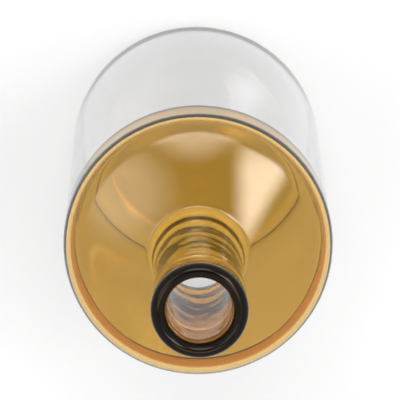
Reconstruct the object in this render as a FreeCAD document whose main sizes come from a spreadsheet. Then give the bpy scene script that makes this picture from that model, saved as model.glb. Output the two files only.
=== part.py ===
import FreeCAD, Part
import math
import os

import Sketcher

# A two-tone glass bottle: a clear lower cup, an amber shoulder and neck joined to it at the
# colour line, and a black ring on the mouth. +Z is up, and the origin is the middle of the base.

# Driving dimensions in millimetres
SIZES = {
    "body_radius": 40.0,
    "wall": 2.0,
    "seam_height": 119.7,
    "heel_radius": 11.0,
    "inner_heel_radius": 9.0,
    "base_thickness": 4.5,
    "bearing_width": 4.0,
    "push_up_height": 3.0,
    "amber_wall": 10.0,
    "knuckle_radius": 8.0,
    "crown_radius": 113.0,
    "neck_height": 66.2,
    "neck_wall": 2.75,
    "neck_flare_radius": 280.0,
    "neck_straight": 5.5,
    "neck_root_fillet": 1.5,
    "bore_radius": 9.25,
    "bore_flare_fillet": 4.0,
    "collar_wall": 4.15,
    "collar_height": 13.5,
    "collar_fillet": 0.8,
    "lip_fillet": 0.5,
    "ring_section_radius": 2.1,
    "ring_height": 4.0,
    "ring_clearance": 0.3,
}

# Sizes that follow from the driving ones, as sums in which a minus takes a size away
SUMS = {
    "inside_radius": ("body_radius", "-wall"),
    "floor_rim": ("inside_radius", "-inner_heel_radius"),
    "floor_top": ("base_thickness", "push_up_height"),
    "bearing_edge": ("body_radius", "-heel_radius", "-bearing_width"),
    "shoulder_height": ("seam_height", "amber_wall"),
    "lip_height": ("shoulder_height", "neck_height"),
    "collar_base": ("lip_height", "-collar_height"),
    "flare_top": ("collar_base", "-neck_straight"),
    "neck_radius": ("bore_radius", "neck_wall"),
    "collar_radius": ("bore_radius", "collar_wall"),
    "ring_mean_radius": ("bore_radius", "ring_clearance", "ring_section_radius"),
    "ring_centre": ("lip_height", "ring_height", "-ring_section_radius"),
}

FULL_TURN = 360.0
HALF_TURN = math.pi
QUARTER_TURN = math.pi / 2.0
START = 1
END = 2
CENTRE = 3
ORIGIN_GEOMETRY = -1
ORIGIN_POINT = 1
AXIS_GEOMETRY = -2
SAME_CIRCLE = 1e-4


def size(name):
    """A driving size, or the sum that a following size stands for."""
    if name in SIZES:
        return SIZES[name]
    return sum(-size(term[1:]) if term.startswith("-") else size(term) for term in SUMS[name])


def expression(name):
    """The same size, written with the sheet's cells."""
    if name in SIZES:
        return f"Sizes.{name}"
    terms = []
    for term in SUMS[name]:
        sign = "-" if term.startswith("-") else "+"
        terms.append(f"{sign} {expression(term.lstrip('-'))}")
    return " ".join(terms).removeprefix("+ ")


def fill_sheet(doc):
    """Write each driving dimension to its own named cell."""
    sheet = doc.addObject("Spreadsheet::Sheet", "Sizes")
    for row, (alias, value) in enumerate(SIZES.items(), start=1):
        sheet.set(f"A{row}", alias)
        sheet.set(f"B{row}", str(value))
        sheet.setAlias(f"B{row}", alias)
    doc.recompute()


class Profile:
    """A half section of one piece, drawn on the XZ plane of its body."""

    def __init__(self, body, name):
        plane = next(item for item in body.Origin.OriginFeatures if item.Role == "XZ_Plane")
        self.sketch = body.newObject("Sketcher::SketchObject", name)
        self.sketch.AttachmentSupport = [(plane, "")]
        self.sketch.MapMode = "FlatFace"

    def line(self, start, end):
        first = FreeCAD.Vector(start[0], start[1], 0)
        second = FreeCAD.Vector(end[0], end[1], 0)
        return self.sketch.addGeometry(Part.LineSegment(first, second), False)

    def arc(self, centre, radius, first_angle, last_angle):
        """A counter-clockwise arc."""
        middle = FreeCAD.Vector(centre[0], centre[1], 0)
        circle = Part.Circle(middle, FreeCAD.Vector(0, 0, 1), radius)
        return self.sketch.addGeometry(Part.ArcOfCircle(circle, first_angle, last_angle), False)

    def dome(self, rim, top, rise):
        """A shallow arc that rises from its rim to its top on the axis."""
        radius = (rim ** 2 + rise ** 2) / (2.0 * rise)
        half_angle = math.asin(rim / radius)
        dome = self.arc((0, top - radius), radius, QUARTER_TURN - half_angle, QUARTER_TURN)
        self.on_axis(dome, CENTRE)
        return dome

    def constrain(self, *values):
        return self.sketch.addConstraint(Sketcher.Constraint(*values))

    def bind(self, index, name):
        """Tie a constraint to the size of the same name."""
        self.sketch.renameConstraint(index, name)
        self.sketch.setExpression(f"Constraints.{name}", expression(name))

    def join(self, first, first_end, second, second_end):
        self.constrain("Coincident", first, first_end, second, second_end)

    def smooth(self, first, first_end, second, second_end):
        self.constrain("Tangent", first, first_end, second, second_end)

    def across(self, item, point, name):
        """Set how far a point lies from the axis."""
        place = (ORIGIN_GEOMETRY, ORIGIN_POINT, item, point)
        self.bind(self.constrain("DistanceX", *place, size(name)), name)

    def height(self, item, point, name):
        """Set how high a point lies above the base."""
        place = (ORIGIN_GEOMETRY, ORIGIN_POINT, item, point)
        self.bind(self.constrain("DistanceY", *place, size(name)), name)

    def radius(self, item, name):
        self.bind(self.constrain("Radius", item, size(name)), name)

    def on_axis(self, item, point):
        self.constrain("PointOnObject", item, point, AXIS_GEOMETRY)

    def upright(self, *items):
        for item in items:
            self.constrain("Vertical", item)

    def level(self, *items):
        for item in items:
            self.constrain("Horizontal", item)


def revolve(body, profile):
    """Turn a half section about the bottle's axis."""
    turned = body.newObject("PartDesign::Revolution", f"{body.Name}_turned")
    turned.Profile = profile.sketch
    turned.ReferenceAxis = (profile.sketch, ["V_Axis"])
    turned.Angle = FULL_TURN
    body.Document.recompute()
    return turned


def circle_edges(shape, radius, height):
    """Names of the circular edges at this radius and height."""
    names = []
    for index, edge in enumerate(shape.Edges, start=1):
        curve = edge.Curve
        if not isinstance(curve, Part.Circle):
            continue
        if abs(curve.Radius - radius) < SAME_CIRCLE and abs(curve.Center.z - height) < SAME_CIRCLE:
            names.append(f"Edge{index}")
    return names


def round_edges(body, base, name, circles):
    """Fillet the edges that lie on the given (radius, height) circles by the size of this name."""
    edges = []
    for radius, height in circles:
        found = circle_edges(base.Shape, radius, height)
        if not found:
            raise RuntimeError(f"{name}: no edge at radius {radius} and height {height}")
        edges.extend(found)
    fillet = body.newObject("PartDesign::Fillet", name)
    fillet.Base = (base, edges)
    fillet.setExpression("Radius", expression(name))
    body.Document.recompute()
    return fillet


def knuckle_angle():
    """Angle above level at which the knuckle runs smoothly into the crown."""
    across = size("body_radius") - size("knuckle_radius")
    return math.acos(across / (size("crown_radius") - size("knuckle_radius")))


def crown_centre_height():
    reach = size("crown_radius") - size("knuckle_radius")
    return size("shoulder_height") - reach * math.sin(knuckle_angle())


def neck_root():
    """Radius and height of the point where the flared neck meets the crown."""
    flare = size("neck_flare_radius")
    crown = size("crown_radius")
    flare_across = size("neck_radius") + flare
    rise = size("flare_top") - crown_centre_height()
    span = math.hypot(flare_across, rise)
    along = (span ** 2 + crown ** 2 - flare ** 2) / (2.0 * span)
    angle = math.atan2(rise, flare_across) + math.acos(along / crown)
    return crown * math.cos(angle), crown_centre_height() + crown * math.sin(angle)


def bore_foot():
    """Radius and height of the point where the bore meets the inside of the crown."""
    bore = size("bore_radius")
    inner_crown = size("crown_radius") - size("wall")
    return bore, crown_centre_height() + math.sqrt(inner_crown ** 2 - bore ** 2)


def crown_angle(point):
    """Angle of a point on the crown, seen from the crown's centre."""
    return math.atan2(point[1] - crown_centre_height(), point[0])


def make_lower_body(doc):
    """Clear glass cup: pushed-up base, bearing ring, rounded heel and straight wall."""
    body = doc.addObject("PartDesign::Body", "lower_body")
    body.Label = "lower_body"
    profile = Profile(body, "lower_body_profile")
    radius = size("body_radius")
    inner = size("inside_radius")
    seam = size("seam_height")
    heel = size("heel_radius")
    inner_heel = size("inner_heel_radius")
    floor = size("base_thickness")
    floor_rim = size("floor_rim")
    floor_top = size("floor_top")
    bearing_edge = size("bearing_edge")
    rise = size("push_up_height")

    under = profile.dome(bearing_edge, rise, rise)
    bearing = profile.line((bearing_edge, 0), (radius - heel, 0))
    outer_heel = profile.arc((radius - heel, heel), heel, -QUARTER_TURN, 0)
    outside = profile.line((radius, heel), (radius, seam))
    joint = profile.line((radius, seam), (inner, seam))
    inside = profile.line((inner, seam), (inner, floor + inner_heel))
    inner_corner = profile.arc((floor_rim, floor + inner_heel), inner_heel, -QUARTER_TURN, 0)
    inner_floor = profile.dome(floor_rim, floor_top, rise)
    middle = profile.line((0, floor_top), (0, rise))

    profile.join(under, START, bearing, START)
    profile.smooth(bearing, END, outer_heel, START)
    profile.smooth(outer_heel, END, outside, START)
    profile.join(outside, END, joint, START)
    profile.join(joint, END, inside, START)
    profile.smooth(inside, END, inner_corner, END)
    profile.join(inner_corner, START, inner_floor, START)
    profile.join(inner_floor, END, middle, START)
    profile.join(middle, END, under, END)
    profile.level(bearing, joint)
    profile.upright(outside, inside, middle)
    profile.on_axis(middle, END)
    profile.constrain("PointOnObject", bearing, START, ORIGIN_GEOMETRY)
    profile.across(bearing, START, "bearing_edge")
    profile.height(middle, END, "push_up_height")
    profile.radius(outer_heel, "heel_radius")
    profile.across(outside, START, "body_radius")
    profile.height(joint, END, "seam_height")
    profile.across(inside, START, "inside_radius")
    profile.radius(inner_corner, "inner_heel_radius")
    profile.across(inner_floor, START, "floor_rim")
    profile.height(inner_floor, START, "base_thickness")
    profile.height(middle, START, "floor_top")
    revolve(body, profile)
    return body


def make_upper_body(doc):
    """Amber glass: short wall, domed shoulder, flared neck, collar, lip and bore."""
    body = doc.addObject("PartDesign::Body", "upper_body")
    body.Label = "upper_body"
    profile = Profile(body, "upper_body_profile")
    radius = size("body_radius")
    wall = size("wall")
    inner = size("inside_radius")
    seam = size("seam_height")
    shoulder = size("shoulder_height")
    knuckle = size("knuckle_radius")
    crown = size("crown_radius")
    neck = size("neck_radius")
    flare = size("neck_flare_radius")
    flare_top = size("flare_top")
    collar = size("collar_radius")
    collar_base = size("collar_base")
    lip = size("lip_height")
    bore = size("bore_radius")
    turn = knuckle_angle()
    root = neck_root()
    foot = bore_foot()
    knuckle_centre = (radius - knuckle, shoulder)
    crown_centre = (0, crown_centre_height())
    flare_angle = math.asin((flare_top - root[1]) / flare)

    outside = profile.line((radius, seam), (radius, shoulder))
    outer_knuckle = profile.arc(knuckle_centre, knuckle, 0, turn)
    outer_crown = profile.arc(crown_centre, crown, turn, crown_angle(root))
    neck_flare = profile.arc((neck + flare, flare_top), flare, HALF_TURN, HALF_TURN + flare_angle)
    neck_side = profile.line((neck, flare_top), (neck, collar_base))
    collar_under = profile.line((neck, collar_base), (collar, collar_base))
    collar_side = profile.line((collar, collar_base), (collar, lip))
    lip_face = profile.line((collar, lip), (bore, lip))
    bore_side = profile.line((bore, lip), foot)
    inner_crown = profile.arc(crown_centre, crown - wall, turn, crown_angle(foot))
    inner_knuckle = profile.arc(knuckle_centre, knuckle - wall, 0, turn)
    inside = profile.line((inner, shoulder), (inner, seam))
    joint = profile.line((inner, seam), (radius, seam))

    profile.smooth(outside, END, outer_knuckle, START)
    profile.smooth(outer_knuckle, END, outer_crown, START)
    profile.join(outer_crown, END, neck_flare, END)
    profile.smooth(neck_flare, START, neck_side, START)
    profile.join(neck_side, END, collar_under, START)
    profile.join(collar_under, END, collar_side, START)
    profile.join(collar_side, END, lip_face, START)
    profile.join(lip_face, END, bore_side, START)
    profile.join(bore_side, END, inner_crown, END)
    profile.smooth(inner_crown, START, inner_knuckle, END)
    profile.smooth(inner_knuckle, START, inside, START)
    profile.join(inside, END, joint, START)
    profile.join(joint, END, outside, START)
    profile.upright(outside, neck_side, collar_side, bore_side, inside)
    profile.level(collar_under, lip_face, joint)
    profile.on_axis(outer_crown, CENTRE)
    profile.join(inner_crown, CENTRE, outer_crown, CENTRE)
    profile.join(inner_knuckle, CENTRE, outer_knuckle, CENTRE)
    profile.across(outside, START, "body_radius")
    profile.across(inside, START, "inside_radius")
    profile.height(outside, START, "seam_height")
    profile.height(outside, END, "shoulder_height")
    profile.radius(outer_knuckle, "knuckle_radius")
    profile.radius(outer_crown, "crown_radius")
    profile.radius(neck_flare, "neck_flare_radius")
    profile.across(neck_side, START, "neck_radius")
    profile.height(neck_side, START, "flare_top")
    profile.height(neck_side, END, "collar_base")
    profile.across(collar_side, START, "collar_radius")
    profile.height(lip_face, START, "lip_height")
    profile.across(bore_side, START, "bore_radius")

    turned = revolve(body, profile)
    rooted = round_edges(body, turned, "neck_root_fillet", [root])
    flared = round_edges(body, rooted, "bore_flare_fillet", [foot])
    collared = round_edges(body, flared, "collar_fillet", [(collar, collar_base)])
    round_edges(body, collared, "lip_fillet", [(collar, lip), (bore, lip)])
    return body


def make_mouth_ring(doc):
    """Black ring with a round crest, seated flat on the lip."""
    body = doc.addObject("PartDesign::Body", "mouth_ring")
    body.Label = "mouth_ring"
    profile = Profile(body, "mouth_ring_profile")
    mean = size("ring_mean_radius")
    section = size("ring_section_radius")
    lip = size("lip_height")
    centre = size("ring_centre")
    dip = math.asin((centre - lip) / section)
    half_seat = section * math.cos(dip)

    crest = profile.arc((mean, centre), section, -dip, HALF_TURN + dip)
    seat = profile.line((mean - half_seat, lip), (mean + half_seat, lip))
    profile.join(crest, END, seat, START)
    profile.join(seat, END, crest, START)
    profile.level(seat)
    profile.across(crest, CENTRE, "ring_mean_radius")
    profile.radius(crest, "ring_section_radius")
    profile.height(crest, CENTRE, "ring_centre")
    profile.height(seat, START, "lip_height")
    revolve(body, profile)
    return body


def check(doc, bodies):
    """Stop if anything in the document failed or a piece has no sound solid."""
    for item in doc.Objects:
        if "Invalid" in item.State or "Error" in item.State:
            raise RuntimeError(f"{item.Name} failed: {item.State}")
    for body in bodies:
        if body.Shape.isNull() or not body.Shape.isValid():
            raise RuntimeError(f"{body.Label} has no valid shape")


def main():
    doc = FreeCAD.newDocument("bottle")
    fill_sheet(doc)
    bodies = [make_lower_body(doc), make_upper_body(doc), make_mouth_ring(doc)]
    doc.recompute()
    check(doc, bodies)
    os.makedirs("parts", exist_ok=True)
    for body in bodies:
        body.Shape.exportStep(f"parts/{body.Label}.step")
        print(f"{body.Label}: volume {body.Shape.Volume:.1f} mm3, {len(body.Shape.Faces)} faces")


main()
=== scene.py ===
import math

import bmesh
import bpy
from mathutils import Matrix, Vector


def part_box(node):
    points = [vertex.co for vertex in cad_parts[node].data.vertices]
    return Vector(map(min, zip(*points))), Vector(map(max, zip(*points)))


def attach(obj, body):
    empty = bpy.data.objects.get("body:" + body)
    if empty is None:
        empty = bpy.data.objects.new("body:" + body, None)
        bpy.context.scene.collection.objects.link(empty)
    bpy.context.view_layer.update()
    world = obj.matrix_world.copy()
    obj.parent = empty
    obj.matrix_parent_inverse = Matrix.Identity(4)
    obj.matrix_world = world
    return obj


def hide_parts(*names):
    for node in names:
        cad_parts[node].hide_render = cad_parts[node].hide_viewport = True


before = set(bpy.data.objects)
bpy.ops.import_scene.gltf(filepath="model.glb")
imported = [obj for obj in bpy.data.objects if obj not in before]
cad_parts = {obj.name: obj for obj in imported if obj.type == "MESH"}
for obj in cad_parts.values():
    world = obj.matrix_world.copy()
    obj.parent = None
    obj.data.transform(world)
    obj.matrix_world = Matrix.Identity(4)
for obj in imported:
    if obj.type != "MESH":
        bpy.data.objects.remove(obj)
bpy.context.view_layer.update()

# Sizes read from the frame, in metres
BODY_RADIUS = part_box("lower_body")[1].x
SEAM_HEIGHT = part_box("lower_body")[1].z
LIP_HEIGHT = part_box("upper_body")[1].z
RING_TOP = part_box("mouth_ring")[1].z
RING_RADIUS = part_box("mouth_ring")[1].x

# Sizes of the glass and the ring that the boxes don't show
MM = 0.001
WALL = 2.0 * MM
HEEL_RADIUS = 11.0 * MM
INNER_HEEL_RADIUS = 9.0 * MM
BASE_THICKNESS = 4.5 * MM
BEARING_WIDTH = 4.0 * MM
PUSH_UP_HEIGHT = 3.0 * MM
AMBER_WALL_HEIGHT = 10.0 * MM
KNUCKLE_RADIUS = 8.0 * MM
CROWN_RADIUS = 113.0 * MM
NECK_RADIUS = 12.0 * MM
NECK_FLARE_RADIUS = 280.0 * MM
NECK_STRAIGHT = 5.5 * MM
NECK_ROOT_SOFTNESS = 1.2 * MM
BORE_RADIUS = 9.25 * MM
BORE_FOOT_SOFTNESS = 4.0 * MM
COLLAR_RADIUS = 13.4 * MM
COLLAR_HEIGHT = 13.5 * MM
COLLAR_EDGE = 0.8 * MM
LIP_EDGE = 0.5 * MM
RING_SECTION_RADIUS = 2.1 * MM
RING_SEAT_GAP = 0.02 * MM

# How finely the pieces are turned and their curves divided
TURN_SEGMENTS = 192
CURVE_STEPS = 24
CORNER_STEPS = 8
RUN_STEPS = 24
SHARP_ANGLE = math.radians(35.0)
MERGE_DISTANCE = 1e-6

# Which skin of the glass a stretch of the profile belongs to
OUTER_SKIN = 0.0
INNER_SKIN = 1.0
JOINED_SKIN = 2.0
SKIN_TOLERANCE = 0.25


def arc_points(centre, radius, first_angle, last_angle, steps=CURVE_STEPS):
    """Points along an arc of the half section, as (radius, height)."""
    points = []
    for step in range(steps + 1):
        angle = first_angle + (last_angle - first_angle) * step / steps
        across = centre[0] + radius * math.cos(angle)
        points.append((across, centre[1] + radius * math.sin(angle)))
    return points


def part_way(start, end, share):
    """The point at this share of the way from start to end."""
    return (start[0] + (end[0] - start[0]) * share, start[1] + (end[1] - start[1]) * share)


def straight_run(start, end, steps=RUN_STEPS):
    """Evenly spaced points along a straight stretch, without its ends."""
    return [part_way(start, end, step / steps) for step in range(1, steps)]


def towards(start, end, distance):
    """The point at this distance from start on the way to end."""
    return part_way(start, end, distance / math.dist(start, end))


def soft_corner(before, corner, after, softness, steps=CORNER_STEPS):
    """A small round blend in place of a sharp corner."""
    first = towards(corner, before, softness)
    last = towards(corner, after, softness)
    points = []
    for step in range(steps + 1):
        share = step / steps
        weights = ((1 - share) ** 2, 2 * share * (1 - share), share ** 2)
        across = sum(w * p[0] for w, p in zip(weights, (first, corner, last)))
        up = sum(w * p[1] for w, p in zip(weights, (first, corner, last)))
        points.append((across, up))
    return points


def trimmed(points, corner, softness):
    """The points of a stretch that stay clear of a softened corner."""
    return [point for point in points if math.dist(point, corner) > softness]


SHOULDER_HEIGHT = SEAM_HEIGHT + AMBER_WALL_HEIGHT
COLLAR_BASE = LIP_HEIGHT - COLLAR_HEIGHT
FLARE_TOP = COLLAR_BASE - NECK_STRAIGHT
KNUCKLE_ACROSS = BODY_RADIUS - KNUCKLE_RADIUS
CROWN_REACH = CROWN_RADIUS - KNUCKLE_RADIUS
KNUCKLE_ANGLE = math.acos(KNUCKLE_ACROSS / CROWN_REACH)
CROWN_CENTRE = SHOULDER_HEIGHT - CROWN_REACH * math.sin(KNUCKLE_ANGLE)
QUARTER_TURN = math.pi / 2


def neck_root():
    """Where the flared neck meets the crown."""
    flare_across = NECK_RADIUS + NECK_FLARE_RADIUS
    rise = FLARE_TOP - CROWN_CENTRE
    span = math.hypot(flare_across, rise)
    along = (span ** 2 + CROWN_RADIUS ** 2 - NECK_FLARE_RADIUS ** 2) / (2 * span)
    angle = math.atan2(rise, flare_across) + math.acos(along / CROWN_RADIUS)
    return (CROWN_RADIUS * math.cos(angle), CROWN_CENTRE + CROWN_RADIUS * math.sin(angle))


def lower_body_profile():
    """Stretches of the clear cup's half section, from under the base to the inside floor."""
    rim = BODY_RADIUS - HEEL_RADIUS - BEARING_WIDTH
    inner = BODY_RADIUS - WALL
    inner_rim = inner - INNER_HEEL_RADIUS
    dome = (rim ** 2 + PUSH_UP_HEIGHT ** 2) / (2 * PUSH_UP_HEIGHT)
    half_angle = math.asin(rim / dome)
    dome_centre = (0, PUSH_UP_HEIGHT - dome)
    floor_top = BASE_THICKNESS + PUSH_UP_HEIGHT
    inner_dome = (inner_rim ** 2 + PUSH_UP_HEIGHT ** 2) / (2 * PUSH_UP_HEIGHT)
    inner_half_angle = math.asin(inner_rim / inner_dome)
    inner_centre = (0, floor_top - inner_dome)

    outside = arc_points(dome_centre, dome, QUARTER_TURN, QUARTER_TURN - half_angle)
    outside += arc_points((BODY_RADIUS - HEEL_RADIUS, HEEL_RADIUS), HEEL_RADIUS, -QUARTER_TURN, 0)
    outside += straight_run(outside[-1], (BODY_RADIUS, SEAM_HEIGHT))
    outside += [(BODY_RADIUS, SEAM_HEIGHT)]
    joined = [(BODY_RADIUS, SEAM_HEIGHT), (inner, SEAM_HEIGHT)]
    heel_centre = (inner_rim, BASE_THICKNESS + INNER_HEEL_RADIUS)
    inside = [(inner, SEAM_HEIGHT)]
    inside += straight_run((inner, SEAM_HEIGHT), (inner, heel_centre[1]))
    inside += arc_points(heel_centre, INNER_HEEL_RADIUS, 0, -QUARTER_TURN)
    inside += arc_points(inner_centre, inner_dome, QUARTER_TURN - inner_half_angle, QUARTER_TURN)[1:]
    return [(outside, OUTER_SKIN), (joined, JOINED_SKIN), (inside, INNER_SKIN)]


def upper_body_profile():
    """Stretches of the amber part's half section, up the outside and down the bore."""
    inner = BODY_RADIUS - WALL
    knuckle_centre = (KNUCKLE_ACROSS, SHOULDER_HEIGHT)
    crown_centre = (0, CROWN_CENTRE)
    root = neck_root()
    root_angle = math.atan2(root[1] - CROWN_CENTRE, root[0])
    crown = arc_points(crown_centre, CROWN_RADIUS, KNUCKLE_ANGLE, root_angle)
    flare_centre = (NECK_RADIUS + NECK_FLARE_RADIUS, FLARE_TOP)
    flare_angle = math.asin((FLARE_TOP - root[1]) / NECK_FLARE_RADIUS)
    flare = arc_points(flare_centre, NECK_FLARE_RADIUS, math.pi + flare_angle, math.pi)
    collar_foot = (NECK_RADIUS, COLLAR_BASE)
    collar_edge = (COLLAR_RADIUS, COLLAR_BASE)
    lip_edge = (COLLAR_RADIUS, LIP_HEIGHT)
    lip_inside = (BORE_RADIUS, LIP_HEIGHT)

    outside = [(BODY_RADIUS, SEAM_HEIGHT)]
    outside += straight_run((BODY_RADIUS, SEAM_HEIGHT), (BODY_RADIUS, SHOULDER_HEIGHT), CORNER_STEPS)
    outside += arc_points(knuckle_centre, KNUCKLE_RADIUS, 0, KNUCKLE_ANGLE)
    outside += trimmed(crown[1:], root, NECK_ROOT_SOFTNESS)
    outside += soft_corner(crown[-2], root, flare[1], NECK_ROOT_SOFTNESS)
    outside += trimmed(flare, root, NECK_ROOT_SOFTNESS)
    outside += soft_corner(flare[-1], collar_foot, collar_edge, COLLAR_EDGE / 2)
    outside += soft_corner(collar_foot, collar_edge, lip_edge, COLLAR_EDGE)
    outside += soft_corner(collar_edge, lip_edge, lip_inside, LIP_EDGE)

    inner_crown_radius = CROWN_RADIUS - WALL
    foot = (BORE_RADIUS, CROWN_CENTRE + math.sqrt(inner_crown_radius ** 2 - BORE_RADIUS ** 2))
    foot_angle = math.atan2(foot[1] - CROWN_CENTRE, foot[0])
    inner_crown = arc_points(crown_centre, inner_crown_radius, foot_angle, KNUCKLE_ANGLE)
    inside = soft_corner(lip_edge, lip_inside, foot, LIP_EDGE)
    inside += straight_run(inside[-1], towards(foot, lip_inside, BORE_FOOT_SOFTNESS))
    inside += soft_corner(lip_inside, foot, inner_crown[1], BORE_FOOT_SOFTNESS)
    inside += trimmed(inner_crown, foot, BORE_FOOT_SOFTNESS)
    inside += arc_points(knuckle_centre, KNUCKLE_RADIUS - WALL, KNUCKLE_ANGLE, 0)[1:]
    inside += straight_run((inner, SHOULDER_HEIGHT), (inner, SEAM_HEIGHT), CORNER_STEPS)
    inside += [(inner, SEAM_HEIGHT)]
    joined = [(inner, SEAM_HEIGHT), (BODY_RADIUS, SEAM_HEIGHT)]
    return [(outside, OUTER_SKIN), ([outside[-1], inside[0]], OUTER_SKIN),
            (inside, INNER_SKIN), (joined, JOINED_SKIN)]


def mouth_ring_profile():
    """The ring's round section, flat where it sits on the lip."""
    mean_radius = RING_RADIUS - RING_SECTION_RADIUS
    seat = LIP_HEIGHT + RING_SEAT_GAP
    centre_height = RING_TOP - RING_SECTION_RADIUS
    dip = math.asin((centre_height - seat) / RING_SECTION_RADIUS)
    centre = (mean_radius, centre_height)
    crest = arc_points(centre, RING_SECTION_RADIUS, -dip, math.pi + dip, 2 * CURVE_STEPS)
    return [(crest, OUTER_SKIN), ([crest[-1], crest[0]], OUTER_SKIN)]


# Turning a half section into a closed piece
def turning_tree():
    """Geometry Nodes that sweep a half section round the bottle's axis and give each skin its finish."""
    tree = bpy.data.node_groups.new("turned_on_axis", "GeometryNodeTree")
    sockets = tree.interface
    sockets.new_socket("Half section", in_out="INPUT", socket_type="NodeSocketGeometry")
    sockets.new_socket("Segments", in_out="INPUT", socket_type="NodeSocketInt")
    sockets.new_socket("Guide radius", in_out="INPUT", socket_type="NodeSocketFloat")
    sockets.new_socket("Merge distance", in_out="INPUT", socket_type="NodeSocketFloat")
    sockets.new_socket("Outer finish", in_out="INPUT", socket_type="NodeSocketMaterial")
    sockets.new_socket("Inner finish", in_out="INPUT", socket_type="NodeSocketMaterial")
    sockets.new_socket("Joined finish", in_out="INPUT", socket_type="NodeSocketMaterial")
    sockets.new_socket("Piece", in_out="OUTPUT", socket_type="NodeSocketGeometry")
    nodes, links = tree.nodes, tree.links
    given = nodes.new("NodeGroupInput")
    made = nodes.new("NodeGroupOutput")
    guide = nodes.new("GeometryNodeCurvePrimitiveCircle")
    section = nodes.new("GeometryNodeMeshToCurve")
    sweep = nodes.new("GeometryNodeCurveToMesh")
    merge = nodes.new("GeometryNodeMergeByDistance")
    smooth = nodes.new("GeometryNodeSetShadeSmooth")
    realize = nodes.new("GeometryNodeRealizeInstances")
    skin = nodes.new("GeometryNodeInputNamedAttribute")
    skin.data_type = "FLOAT"
    skin.inputs["Name"].default_value = "skin"
    keep = nodes.new("GeometryNodeCaptureAttribute")
    keep.domain = "FACE"
    keep.capture_items.new("FLOAT", "Skin")
    links.new(given.outputs["Segments"], guide.inputs["Resolution"])
    links.new(given.outputs["Guide radius"], guide.inputs["Radius"])
    links.new(guide.outputs["Curve"], sweep.inputs["Curve"])
    links.new(given.outputs["Half section"], section.inputs["Mesh"])
    links.new(section.outputs["Curve"], sweep.inputs["Profile Curve"])
    links.new(sweep.outputs["Mesh"], keep.inputs["Geometry"])
    links.new(skin.outputs["Attribute"], keep.inputs["Skin"])
    links.new(keep.outputs["Geometry"], merge.inputs["Geometry"])
    links.new(given.outputs["Merge distance"], merge.inputs["Distance"])
    links.new(merge.outputs["Geometry"], smooth.inputs["Geometry"])
    links.new(smooth.outputs["Geometry"], realize.inputs["Geometry"])
    geometry = realize.outputs["Geometry"]
    coats = (("Outer finish", None), ("Inner finish", INNER_SKIN), ("Joined finish", JOINED_SKIN))
    for finish, level in coats:
        paint = nodes.new("GeometryNodeSetMaterial")
        links.new(geometry, paint.inputs["Geometry"])
        links.new(given.outputs[finish], paint.inputs["Material"])
        geometry = paint.outputs["Geometry"]
        if level is None:
            continue
        same = nodes.new("FunctionNodeCompare")
        same.data_type = "FLOAT"
        same.operation = "EQUAL"
        same.inputs["B"].default_value = level
        same.inputs["Epsilon"].default_value = SKIN_TOLERANCE
        links.new(keep.outputs["Skin"], same.inputs["A"])
        links.new(same.outputs["Result"], paint.inputs["Selection"])
    links.new(geometry, made.inputs["Piece"])
    return tree


TURNING_TREE = turning_tree()


def set_input(modifier, name, value):
    """Set a tree's named input by its identifier."""
    for item in modifier.node_group.interface.items_tree:
        if item.item_type == "SOCKET" and item.in_out == "INPUT" and item.name == name:
            modifier[item.identifier] = value


def half_section(name, stretches, closed):
    """The half section as a chain of edges, with each point marked by its skin."""
    points = [point for stretch, _ in stretches for point in stretch]
    skins = [skin for stretch, skin in stretches for _ in stretch]
    edges = [(index, index + 1) for index in range(len(points) - 1)]
    if closed:
        edges.append((len(points) - 1, 0))
    chain = bpy.data.meshes.new(name)
    chain.from_pydata([(across - BODY_RADIUS, -up, 0) for across, up in points], edges, [])
    marks = chain.attributes.new("skin", "FLOAT", "POINT")
    marks.data.foreach_set("value", skins)
    return chain


def turned_piece(name, stretches, closed, outer, inner, joined):
    """A closed mesh made by turning a half section about the axis."""
    chain = half_section(name + "_section", stretches, closed)
    blank = bpy.data.objects.new(name + "_section", chain)
    bpy.context.scene.collection.objects.link(blank)
    turning = blank.modifiers.new("turning", "NODES")
    turning.node_group = TURNING_TREE
    set_input(turning, "Segments", TURN_SEGMENTS)
    set_input(turning, "Guide radius", BODY_RADIUS)
    set_input(turning, "Merge distance", MERGE_DISTANCE)
    set_input(turning, "Outer finish", outer)
    set_input(turning, "Inner finish", inner)
    set_input(turning, "Joined finish", joined)
    graph = bpy.context.evaluated_depsgraph_get()
    mesh = bpy.data.meshes.new_from_object(blank.evaluated_get(graph), depsgraph=graph)
    bpy.data.objects.remove(blank)
    bpy.data.meshes.remove(chain)
    mesh.name = name
    shell = bmesh.new()
    shell.from_mesh(mesh)
    bmesh.ops.recalc_face_normals(shell, faces=shell.faces)
    shell.to_mesh(mesh)
    shell.free()
    mesh.set_sharp_from_angle(angle=SHARP_ANGLE)
    piece = bpy.data.objects.new(name, mesh)
    bpy.context.scene.collection.objects.link(piece)
    return piece


# Node helpers
def plain_math(tree, operation, first, second=None):
    """A maths node between sockets or numbers."""
    node = tree.nodes.new("ShaderNodeMath")
    node.operation = operation
    for socket, value in zip(node.inputs, (first, second)):
        if isinstance(value, (int, float)):
            socket.default_value = value
        elif value is not None:
            tree.links.new(value, socket)
    return node.outputs[0]


def fade_out(tree, value, full, end):
    """One up to a first value, falling softly to nought at a second one."""
    fade = tree.nodes.new("ShaderNodeMapRange")
    fade.interpolation_type = "SMOOTHSTEP"
    fade.inputs["From Min"].default_value = full
    fade.inputs["From Max"].default_value = end
    fade.inputs["To Min"].default_value = 1.0
    fade.inputs["To Max"].default_value = 0.0
    tree.links.new(value, fade.inputs["Value"])
    return fade.outputs["Result"]


def distance_from(tree, place, centre):
    """How far a place lies from a centre."""
    node = tree.nodes.new("ShaderNodeVectorMath")
    node.operation = "DISTANCE"
    node.inputs[1].default_value = centre
    tree.links.new(place, node.inputs[0])
    return node.outputs["Value"]


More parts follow.
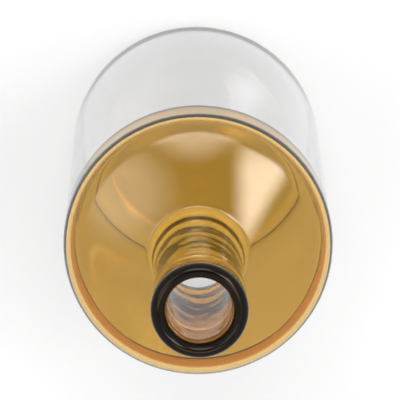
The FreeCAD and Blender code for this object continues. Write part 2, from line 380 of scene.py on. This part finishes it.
def colour_mix(tree, share, first, second):
    """A blend of two colours or colour sockets."""
    node = tree.nodes.new("ShaderNodeMix")
    node.data_type = "RGBA"
    tree.links.new(share, node.inputs["Factor"])
    for name, value in (("A", first), ("B", second)):
        if isinstance(value, tuple):
            node.inputs[name].default_value = value
        else:
            tree.links.new(value, node.inputs[name])
    return node.outputs["Result"]


# Glass: the colour of each skin, its faint waves and its slow drift
GLASS_IOR = 1.5
JOINT_IOR = 1.0
JOINT_TINT = (0.98, 0.97, 0.95)
CLEAR_TINT = (0.90, 0.905, 0.91)
AMBER_OUTER_TINT = (0.76, 0.50, 0.16)
AMBER_INNER_TINT = (0.72, 0.34, 0.021)
CLEAR_WAVER = 0.03
AMBER_WAVER = 0.35
WAVER_SCALE = 45.0
WAVER_DEPTH = 0.25 * MM
DRIFT_SCALE = 30.0
DRIFT_SHARE = 0.03

# The inside of the neck, where the glass is thicker and more rippled: it begins softly between two heights
NECK_GLASS_FROM = 141.5 * MM
NECK_GLASS_TO = 146.0 * MM
AMBER_NECK_TINT = (0.54, 0.24, 0.008)
NECK_DRIFT_SHARE = 0.25
NECK_DRIFT_SCALE = 90.0
NECK_RIPPLE_SCALE = 110.0
NECK_RIPPLE_RISE = 9.0
BORE_ROUGHNESS = 0.1

# The black ring: its gloss, and a lighter line along its crest, partly wear and partly a painted highlight
RING_COLOUR = (0.004, 0.0026, 0.002)
RING_DRIFT_SHARE = 0.4
RING_DRIFT_SCALE = 220.0
RING_SMOOTH = 0.04
RING_WORN = 0.11
RING_SPECULAR = 0.2
RING_SPECULAR_TINT = (1.0, 0.9, 0.8, 1.0)
RING_WAVER = 0.1
RING_WAVER_SCALE = 160.0
# Colour of the crest line: partly wear, partly a painted highlight
RING_WEAR_AND_HIGHLIGHT_COLOUR = (0.06, 0.033, 0.011, 1.0)
RING_WEAR_AND_HIGHLIGHT_WIDTH = 0.35 * MM
RING_WEAR_AND_HIGHLIGHT_SCALE = 110.0
WEAR_AND_HIGHLIGHT_EDGE = (0.3, 1.0)
WEAR_AND_HIGHLIGHT_BREAKS = (0.42, 0.56)

# The noise that all finishes share
NOISE_DETAIL = 1.5
NOISE_ROUGHNESS = 0.4
NOISE_LOW = 0.35
NOISE_HIGH = 0.65


# Finishes
def new_finish(name):
    """A new material and its main shader."""
    material = bpy.data.materials.new(name)
    material.use_nodes = True
    shader = material.node_tree.nodes["Principled BSDF"]
    return material, shader


def noise_group(name, outputs):
    """A node group with a Scale input and noise on the piece's own coordinates."""
    group = bpy.data.node_groups.new(name, "ShaderNodeTree")
    group.interface.new_socket("Scale", in_out="INPUT", socket_type="NodeSocketFloat")
    for label, kind in outputs:
        group.interface.new_socket(label, in_out="OUTPUT", socket_type=kind)
    given = group.nodes.new("NodeGroupInput")
    made = group.nodes.new("NodeGroupOutput")
    place = group.nodes.new("ShaderNodeTexCoord")
    noise = group.nodes.new("ShaderNodeTexNoise")
    noise.inputs["Detail"].default_value = NOISE_DETAIL
    noise.inputs["Roughness"].default_value = NOISE_ROUGHNESS
    group.links.new(place.outputs["Object"], noise.inputs["Vector"])
    group.links.new(given.outputs["Scale"], noise.inputs["Scale"])
    return group, given, made, noise


def glass_waver_group():
    """Height of the faint waves that blown glass keeps."""
    group, _, made, noise = noise_group("glass_waver", (("Height", "NodeSocketFloat"),))
    group.links.new(noise.outputs["Fac"], made.inputs["Height"])
    return group


def tint_drift_group():
    """A colour that drifts slowly between two near ones, as glass and moulded pieces do."""
    outputs = (("Colour", "NodeSocketColor"), ("Drift", "NodeSocketFloat"))
    group, given, made, noise = noise_group("tint_drift", outputs)
    for label in ("First", "Second"):
        group.interface.new_socket(label, in_out="INPUT", socket_type="NodeSocketColor")
    spread = group.nodes.new("ShaderNodeMapRange")
    spread.inputs["From Min"].default_value = NOISE_LOW
    spread.inputs["From Max"].default_value = NOISE_HIGH
    blend = group.nodes.new("ShaderNodeMix")
    blend.data_type = "RGBA"
    group.links.new(noise.outputs["Fac"], spread.inputs["Value"])
    group.links.new(spread.outputs["Result"], blend.inputs["Factor"])
    group.links.new(given.outputs["First"], blend.inputs["A"])
    group.links.new(given.outputs["Second"], blend.inputs["B"])
    group.links.new(blend.outputs["Result"], made.inputs["Colour"])
    group.links.new(spread.outputs["Result"], made.inputs["Drift"])
    return group


def height_mask_group():
    """Nought below one height of the piece, rising to a given amount at another."""
    group = bpy.data.node_groups.new("height_mask", "ShaderNodeTree")
    for label in ("Low", "High", "Amount"):
        group.interface.new_socket(label, in_out="INPUT", socket_type="NodeSocketFloat")
    group.interface.new_socket("Mask", in_out="OUTPUT", socket_type="NodeSocketFloat")
    given = group.nodes.new("NodeGroupInput")
    made = group.nodes.new("NodeGroupOutput")
    place = group.nodes.new("ShaderNodeTexCoord")
    apart = group.nodes.new("ShaderNodeSeparateXYZ")
    ramp = group.nodes.new("ShaderNodeMapRange")
    group.links.new(place.outputs["Object"], apart.inputs["Vector"])
    group.links.new(apart.outputs["Z"], ramp.inputs["Value"])
    group.links.new(given.outputs["Low"], ramp.inputs["From Min"])
    group.links.new(given.outputs["High"], ramp.inputs["From Max"])
    group.links.new(given.outputs["Amount"], ramp.inputs["To Max"])
    group.links.new(ramp.outputs["Result"], made.inputs["Mask"])
    return group


def wear_and_highlight_line_group():
    """A broken line round the axis where a turned piece is rubbed most: partly wear, partly a painted
    highlight along the crest.
    """
    group, given, made, noise = noise_group("wear_and_highlight_line", (("Mask", "NodeSocketFloat"),))
    for label in ("Crest radius", "Half width"):
        group.interface.new_socket(label, in_out="INPUT", socket_type="NodeSocketFloat")
    place = group.nodes.new("ShaderNodeTexCoord")
    flat = group.nodes.new("ShaderNodeVectorMath")
    flat.operation = "MULTIPLY"
    flat.inputs[1].default_value = (1.0, 1.0, 0.0)
    reach = group.nodes.new("ShaderNodeVectorMath")
    reach.operation = "LENGTH"
    group.links.new(place.outputs["Object"], flat.inputs[0])
    group.links.new(flat.outputs["Vector"], reach.inputs[0])
    off = plain_math(group, "SUBTRACT", reach.outputs["Value"], given.outputs["Crest radius"])
    share = plain_math(group, "DIVIDE", plain_math(group, "ABSOLUTE", off), given.outputs["Half width"])
    # The line's mask stands in partly for wear and partly for a painted highlight along the crest
    line = fade_out(group, share, *WEAR_AND_HIGHLIGHT_EDGE)
    broken = plain_math(group, "SUBTRACT", 1.0, fade_out(group, noise.outputs["Fac"], *WEAR_AND_HIGHLIGHT_BREAKS))
    group.links.new(plain_math(group, "MULTIPLY", line, broken), made.inputs["Mask"])
    return group


GLASS_WAVER = glass_waver_group()
TINT_DRIFT = tint_drift_group()
HEIGHT_MASK = height_mask_group()
WEAR_AND_HIGHLIGHT_LINE = wear_and_highlight_line_group()


def add_group(material, group, values):
    """Place a shared group in a material with its own values."""
    node = material.node_tree.nodes.new("ShaderNodeGroup")
    node.node_tree = group
    for label, value in values.items():
        node.inputs[label].default_value = value
    return node.outputs


def add_drift(material, shader, colour, share, scale=DRIFT_SCALE):
    """Let a finish's colour drift down by a share."""
    darker = tuple(channel * (1.0 - share) for channel in colour)
    values = {"First": (*colour, 1.0), "Second": (*darker, 1.0), "Scale": scale}
    drift = add_group(material, TINT_DRIFT, values)
    material.node_tree.links.new(drift["Colour"], shader.inputs["Base Color"])
    return drift


def add_waver(material, shader, strength, scale=WAVER_SCALE):
    """Give a surface faint waves."""
    waver = add_group(material, GLASS_WAVER, {"Scale": scale})
    bump = material.node_tree.nodes.new("ShaderNodeBump")
    bump.inputs["Strength"].default_value = strength
    bump.inputs["Distance"].default_value = WAVER_DEPTH
    material.node_tree.links.new(waver["Height"], bump.inputs["Height"])
    material.node_tree.links.new(bump.outputs["Normal"], shader.inputs["Normal"])


def glass_finish(name, colour, waver_strength):
    """Clear or tinted glass with faint waves."""
    material, shader = new_finish(name)
    shader.inputs["Roughness"].default_value = 0.0
    shader.inputs["IOR"].default_value = GLASS_IOR
    shader.inputs["Transmission Weight"].default_value = 1.0
    add_drift(material, shader, colour, DRIFT_SHARE)
    add_waver(material, shader, waver_strength)
    return material


def inner_glass_finish(name, colour, neck_colour, waver_strength):
    """Tinted glass that is thicker, and so darker, and more rippled inside the neck."""
    material = glass_finish(name, colour, waver_strength)
    tree = material.node_tree
    shader = tree.nodes["Principled BSDF"]
    shoulder = shader.inputs["Base Color"].links[0].from_socket
    neck = add_drift(material, shader, neck_colour, NECK_DRIFT_SHARE, NECK_DRIFT_SCALE)["Colour"]
    reach = {"Low": NECK_GLASS_FROM, "High": NECK_GLASS_TO}
    drawn = add_group(material, HEIGHT_MASK, {**reach, "Amount": BORE_ROUGHNESS})
    thick = add_group(material, HEIGHT_MASK, {**reach, "Amount": 1.0})
    ripple = add_group(material, GLASS_WAVER, {"Scale": NECK_RIPPLE_SCALE})["Height"]
    rise = plain_math(tree, "MULTIPLY", thick["Mask"], NECK_RIPPLE_RISE)
    raised = plain_math(tree, "MULTIPLY", ripple, rise)
    height = shader.inputs["Normal"].links[0].from_node.inputs["Height"]
    tree.links.new(plain_math(tree, "ADD", height.links[0].from_socket, raised), height)
    tree.links.new(drawn["Mask"], shader.inputs["Roughness"])
    tree.links.new(colour_mix(tree, thick["Mask"], shoulder, neck), shader.inputs["Base Color"])
    return material


def joined_finish():
    """The fused joint, which bends no light because there is glass on both sides of it."""
    material = glass_finish("fused_joint", JOINT_TINT, 0.0)
    material.node_tree.nodes["Principled BSDF"].inputs["IOR"].default_value = JOINT_IOR
    return material


def black_ring_finish():
    """Glossy black, a little duller in places, with a broken lighter line on its crest that is partly wear
    and partly a painted highlight.
    """
    material, shader = new_finish("black_gloss")
    drift = add_drift(material, shader, RING_COLOUR, RING_DRIFT_SHARE, RING_DRIFT_SCALE)
    tree = material.node_tree
    rub = tree.nodes.new("ShaderNodeMapRange")
    rub.inputs["To Min"].default_value = RING_SMOOTH
    rub.inputs["To Max"].default_value = RING_WORN
    tree.links.new(drift["Drift"], rub.inputs["Value"])
    tree.links.new(rub.outputs["Result"], shader.inputs["Roughness"])
    shader.inputs["Specular IOR Level"].default_value = RING_SPECULAR
    shader.inputs["Specular Tint"].default_value = RING_SPECULAR_TINT
    crest = {"Crest radius": RING_RADIUS - RING_SECTION_RADIUS, "Half width": RING_WEAR_AND_HIGHLIGHT_WIDTH,
             "Scale": RING_WEAR_AND_HIGHLIGHT_SCALE}
    worn_and_lit = add_group(material, WEAR_AND_HIGHLIGHT_LINE, crest)
    # Crest line colour mixed in here: partly wear, partly a painted highlight
    colour = colour_mix(tree, worn_and_lit["Mask"], drift["Colour"], RING_WEAR_AND_HIGHLIGHT_COLOUR)
    tree.links.new(colour, shader.inputs["Base Color"])
    add_waver(material, shader, RING_WAVER, RING_WAVER_SCALE)
    return material


CLEAR_GLASS = glass_finish("clear_blown_glass", CLEAR_TINT, CLEAR_WAVER)
AMBER_OUTER = glass_finish("amber_outer_skin", AMBER_OUTER_TINT, AMBER_WAVER)
AMBER_INNER = inner_glass_finish("amber_inner_skin", AMBER_INNER_TINT, AMBER_NECK_TINT, AMBER_WAVER)
FUSED_JOINT = joined_finish()
BLACK_GLOSS = black_ring_finish()


# Pieces
def add_pieces():
    """The three pieces, each in place of its own node."""
    lower = turned_piece("clear_body", lower_body_profile(), False,
                         CLEAR_GLASS, CLEAR_GLASS, FUSED_JOINT)
    upper = turned_piece("amber_body", upper_body_profile(), True,
                         AMBER_OUTER, AMBER_INNER, FUSED_JOINT)
    ring = turned_piece("black_mouth_ring", mouth_ring_profile(), True,
                        BLACK_GLOSS, BLACK_GLOSS, BLACK_GLOSS)
    dressed = ((lower, "lower_body", "clear_glass"), (upper, "upper_body", "amber_glass"),
               (ring, "mouth_ring", "black_ring"))
    for piece, node, slot in dressed:
        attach(piece, "root")
        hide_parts(node)


# Floor, light and camera
WHITE = (1.0, 1.0, 1.0, 1.0)
FLOOR_HALF = 3.0
FLOOR_COLOUR = (0.62, 0.62, 0.62, 1.0)
FLOOR_GLOW = 0.4


def shown_as_background(tree):
    """One where the camera, a mirror or glass shows the stage, nought where it lights the object."""
    path = tree.nodes.new("ShaderNodeLightPath").outputs
    mirrored = plain_math(tree, "MAXIMUM", path["Is Glossy Ray"], path["Is Transmission Ray"])
    return plain_math(tree, "MAXIMUM", path["Is Camera Ray"], mirrored)


def add_floor():
    """A plain pale floor that keeps its shadow, lifted to white where the camera or glass shows it."""
    mesh = bpy.data.meshes.new("floor")
    corners = [(-FLOOR_HALF, -FLOOR_HALF, 0), (FLOOR_HALF, -FLOOR_HALF, 0),
               (FLOOR_HALF, FLOOR_HALF, 0), (-FLOOR_HALF, FLOOR_HALF, 0)]
    mesh.from_pydata(corners, [], [(0, 1, 2, 3)])
    floor = bpy.data.objects.new("floor", mesh)
    bpy.context.scene.collection.objects.link(floor)
    material, shader = new_finish("pale_floor")
    shader.inputs["Base Color"].default_value = FLOOR_COLOUR
    shader.inputs["Roughness"].default_value = 1.0
    shader.inputs["Specular IOR Level"].default_value = 0.0
    shader.inputs["Emission Color"].default_value = WHITE
    tree = material.node_tree
    glow = plain_math(tree, "MULTIPLY", shown_as_background(tree), FLOOR_GLOW)
    tree.links.new(glow, shader.inputs["Emission Strength"])
    mesh.materials.append(material)


# The room, as directions from the bottle: an even level, dimmer overhead, with a bright patch high
# at the back, a soft one on the left and a slanted window on the right, and a pale backdrop
ROOM_LEVEL = 0.5
OVERHEAD_CENTRE = (0.08, 0.2, 0.97)
OVERHEAD_REACH = (0.30, 0.62)
OVERHEAD_DIM = 0.9
BACKDROP_LEVEL = 0.9
BACK_LEVEL = 4.4
BACK_CENTRE = (0.0, 0.54, 0.84)
BACK_REACH = (0.18, 0.36)
LEFT_LEVEL = 2.4
LEFT_CENTRE = (-0.38, 0.08, 0.92)
LEFT_REACH = (0.10, 0.34)
WINDOW_LEVEL = 9.5
WINDOW_LEFT = (0.17, 0.30)
WINDOW_SLANT = 0.66
WINDOW_RIGHT = (0.31, 0.44)
WINDOW_BACK = (0.16, 0.42)


def add_room():
    """Soft light for the bottle, and the pale backdrop that polished glass shows."""
    world = bpy.data.worlds.new("room")
    world.use_nodes = True
    tree = world.node_tree
    backdrop = tree.nodes["Background"]
    direction = tree.nodes.new("ShaderNodeTexCoord").outputs["Generated"]
    apart = tree.nodes.new("ShaderNodeSeparateXYZ")
    tree.links.new(direction, apart.inputs["Vector"])
    across, back = apart.outputs["X"], apart.outputs["Y"]
    overhead = fade_out(tree, distance_from(tree, direction, OVERHEAD_CENTRE), *OVERHEAD_REACH)
    open_side = plain_math(tree, "SUBTRACT", 1.0, plain_math(tree, "MULTIPLY", overhead, OVERHEAD_DIM))
    shown = plain_math(tree, "MULTIPLY", shown_as_background(tree), BACKDROP_LEVEL - ROOM_LEVEL)
    level = plain_math(tree, "MULTIPLY", plain_math(tree, "ADD", shown, ROOM_LEVEL), open_side)
    behind = fade_out(tree, distance_from(tree, direction, BACK_CENTRE), *BACK_REACH)
    left = fade_out(tree, distance_from(tree, direction, LEFT_CENTRE), *LEFT_REACH)
    slant = plain_math(tree, "SUBTRACT", across, plain_math(tree, "MULTIPLY", back, WINDOW_SLANT))
    sides = plain_math(tree, "MULTIPLY", fade_out(tree, slant, *WINDOW_RIGHT),
                       plain_math(tree, "SUBTRACT", 1.0, fade_out(tree, across, *WINDOW_LEFT)))
    window = plain_math(tree, "MULTIPLY", sides, fade_out(tree, back, *WINDOW_BACK))
    for part, strength in ((behind, BACK_LEVEL), (left, LEFT_LEVEL), (window, WINDOW_LEVEL)):
        level = plain_math(tree, "ADD", plain_math(tree, "MULTIPLY", part, strength), level)
    tree.links.new(level, backdrop.inputs["Strength"])
    backdrop.inputs["Color"].default_value = WHITE
    bpy.context.scene.world = world


# The photograph's view: the focal length is in pixels, and the distances are in body radii
PICTURE_SIDE = 400
FOCAL_PIXELS = 3649
SENSOR = 36.0
VIEW_TILT = math.radians(14.96)
VIEW_ROLL = math.radians(-1.41)
VIEW_DISTANCE = 30.20
VIEW_DROP = -0.508
VIEW_ASIDE = 0.022
CLIP_START = 0.01


def add_camera():
    """The camera looks down at the mouth, tilted from the bottle's axis."""
    data = bpy.data.cameras.new("camera")
    data.sensor_width = SENSOR
    data.lens = FOCAL_PIXELS * SENSOR / PICTURE_SIDE
    data.clip_start = CLIP_START
    camera = bpy.data.objects.new("camera", data)
    along = VIEW_DISTANCE * math.cos(VIEW_TILT) - VIEW_DROP * math.sin(VIEW_TILT)
    back = VIEW_DISTANCE * math.sin(VIEW_TILT) + VIEW_DROP * math.cos(VIEW_TILT)
    camera.location = Vector((VIEW_ASIDE, back, along)) * BODY_RADIUS
    camera.rotation_mode = "ZXY"
    camera.rotation_euler = (-VIEW_TILT, 0, VIEW_ROLL)
    bpy.context.scene.collection.objects.link(camera)
    bpy.context.scene.camera = camera


add_pieces()
add_floor()
add_room()
add_camera()
bpy.context.scene.view_settings.view_transform = "Standard"
